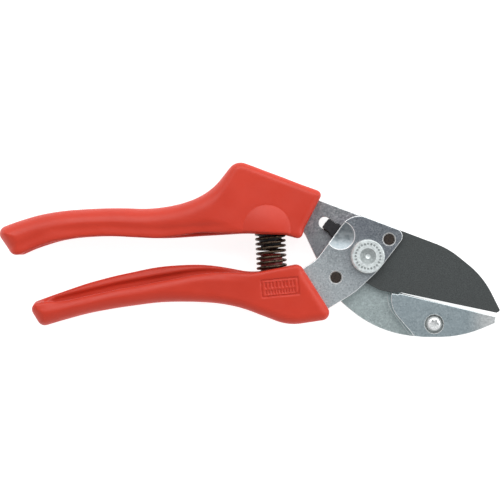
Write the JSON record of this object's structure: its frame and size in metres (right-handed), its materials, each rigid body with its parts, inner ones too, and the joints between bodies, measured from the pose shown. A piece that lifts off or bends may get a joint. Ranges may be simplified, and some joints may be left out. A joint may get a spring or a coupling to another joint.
{
  "type": "pruning shears",
  "caption": "Hand pruning shears with a straight blade that closes on a flat anvil, coated channel handles, an open coil spring between them and a sliding catch.",
  "frame": {"origin": "centre of the bounding box in X and Y, on the plane the shears lie on", "axes": "+X towards the jaw tip, +Y towards the upper handle, +Z out of the front side, through the thickness"},
  "size_m": [0.2201, 0.0767, 0.0218],
  "materials": {
    "zinc_steel": "satin zinc-plated steel sheet",
    "blade_coat": "matte dark non-stick coating",
    "grip_coat": "satin dipped plastic",
    "black_plastic": "satin",
    "red_plastic": "satin",
    "spring_steel": "oiled bronze-dark wire",
    "rivet_steel": "dark brown",
    "plated_steel": "bright zinc"
  },
  "bodies": {
    "upper_handle": {"upper_frame": "zinc_steel", "upper_grip": "grip_coat", "anvil": "zinc_steel", "anvil_screw": "plated_steel", "anvil_nut": "plated_steel", "anvil_lock_washer": "plated_steel", "pivot_bolt": "plated_steel", "pivot_washer": "plated_steel", "pivot_shim": "plated_steel", "pivot_spring_washer": "plated_steel", "pivot_nut": "plated_steel", "spring_buffer": "black_plastic"},
    "lower_handle": {"lower_frame": "zinc_steel", "lower_grip": "grip_coat", "blade": "blade_coat", "blade_rivet_upper": "rivet_steel", "blade_rivet_lower": "rivet_steel", "spring_peg": "red_plastic", "return_spring": "spring_steel"},
    "latch": {"latch_slider": "black_plastic", "latch_button": "black_plastic"}
  },
  "joints": [
    {"name": "main_pivot", "type": "hinge", "parent": "upper_handle", "child": "lower_handle", "pos_m": [0.0517, -0.0026, 0.0095], "axis": [0, 0, 1], "range_deg": [-1.35, 25], "deforming": ["return_spring"]},
    {"name": "latch_slide", "type": "slide", "parent": "upper_handle", "child": "latch", "axis": [-0.7986, 0.6018, 0], "range_m": [0, 0.0026]}
  ]
}
